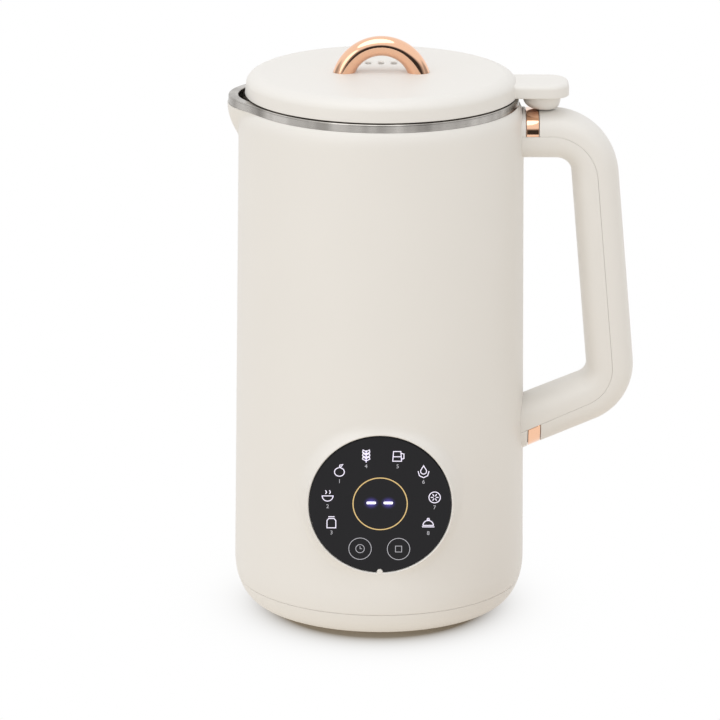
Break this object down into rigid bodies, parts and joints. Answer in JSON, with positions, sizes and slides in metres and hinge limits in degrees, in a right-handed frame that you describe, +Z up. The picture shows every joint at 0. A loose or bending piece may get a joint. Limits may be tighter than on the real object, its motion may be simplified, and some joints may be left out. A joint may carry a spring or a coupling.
{
  "type": "soy milk maker",
  "caption": "Tall round soy milk maker: steel cup with a pouring lip, lift-off lid with an arch handle, side handle, round touch panel, and a motor and blade below.",
  "frame": {"origin": "centre of the whole part's outline, on the plane that the feet stand on", "axes": "+Z up; the control panel faces -Y; the handle is at +X and the pouring lip at -X"},
  "size_m": [0.1722, 0.126, 0.2465],
  "materials": {
    "cream_plastic": "satin",
    "cream_inner_plastic": "fine matt",
    "brushed_steel": "brushed",
    "rose_gold_plating": "polished rose gold plating",
    "black_lens": "smoked, satin gloss",
    "grey_silicone": "soft silicone",
    "dark_rubber": "moulded",
    "black_plastic": "moulded",
    "copper_winding": "enamelled copper",
    "laminated_iron": "stamped sheet stack",
    "zinc_plated_steel": "zinc plated",
    "cast_aluminium": "die cast",
    "brass": "bright",
    "green_board": "glass fibre board",
    "dark_foam": "conductive foam"
  },
  "bodies": {
    "body": {"outer_shell": "cream_plastic", "base_cover": "cream_plastic", "handle_grip": "cream_plastic", "handle_cover": "cream_plastic", "inner_cup": "brushed_steel", "heater_tube": "brushed_steel", "trim_upper": "rose_gold_plating", "trim_lower": "rose_gold_plating", "control_lens": "black_lens", "shaft_seal": "grey_silicone", "foot_1": "dark_rubber", "foot_2": "dark_rubber", "foot_3": "dark_rubber", "foot_4": "dark_rubber", "panel_carrier": "black_plastic", "display_module": "black_plastic", "coupler_socket": "black_plastic", "thermostat": "black_plastic", "power_inlet": "black_plastic", "field_coil_left": "copper_winding", "field_coil_right": "copper_winding", "motor_stator": "laminated_iron", "base_screw_1": "zinc_plated_steel", "base_screw_2": "zinc_plated_steel", "base_screw_3": "zinc_plated_steel", "base_screw_4": "zinc_plated_steel", "handle_screw_upper": "zinc_plated_steel", "handle_screw_lower": "zinc_plated_steel", "lower_bearing": "zinc_plated_steel", "upper_bearing": "zinc_plated_steel", "heat_plate": "cast_aluminium", "shaft_housing": "cast_aluminium", "motor_bracket_lower": "cast_aluminium", "motor_bracket_upper": "cast_aluminium", "brush_holder_front": "brass", "brush_holder_back": "brass", "inlet_pin_live": "brass", "inlet_pin_neutral": "brass", "inlet_pin_earth": "brass", "control_board": "green_board", "power_board": "green_board", "touch_pad_left": "dark_foam", "touch_pad_right": "dark_foam"},
    "lid": {"lid_shell": "cream_plastic", "lid_liner": "cream_inner_plastic", "lid_seal": "grey_silicone", "lid_arch_handle": "rose_gold_plating", "arch_screw_left": "zinc_plated_steel", "arch_screw_right": "zinc_plated_steel", "lid_coupler": "cream_plastic", "coupler_pin_front": "brass", "coupler_pin_rear": "brass", "overflow_probe": "brushed_steel"},
    "rotor": {"rotor_shaft": "zinc_plated_steel", "rotor_core": "laminated_iron", "commutator": "copper_winding", "cooling_fan": "black_plastic", "chopping_blade": "brushed_steel", "blade_nut": "brushed_steel"}
  },
  "joints": [
    {"name": "lid_lift", "type": "slide", "parent": "body", "child": "lid", "axis": [0, 0, 1], "range_m": [0, 0.06]},
    {"name": "rotor_spin", "type": "hinge", "parent": "body", "child": "rotor", "pos_m": [-0.02187, -0.00045, 0.091], "axis": [0, 0, 1], "continuous": true}
  ]
}
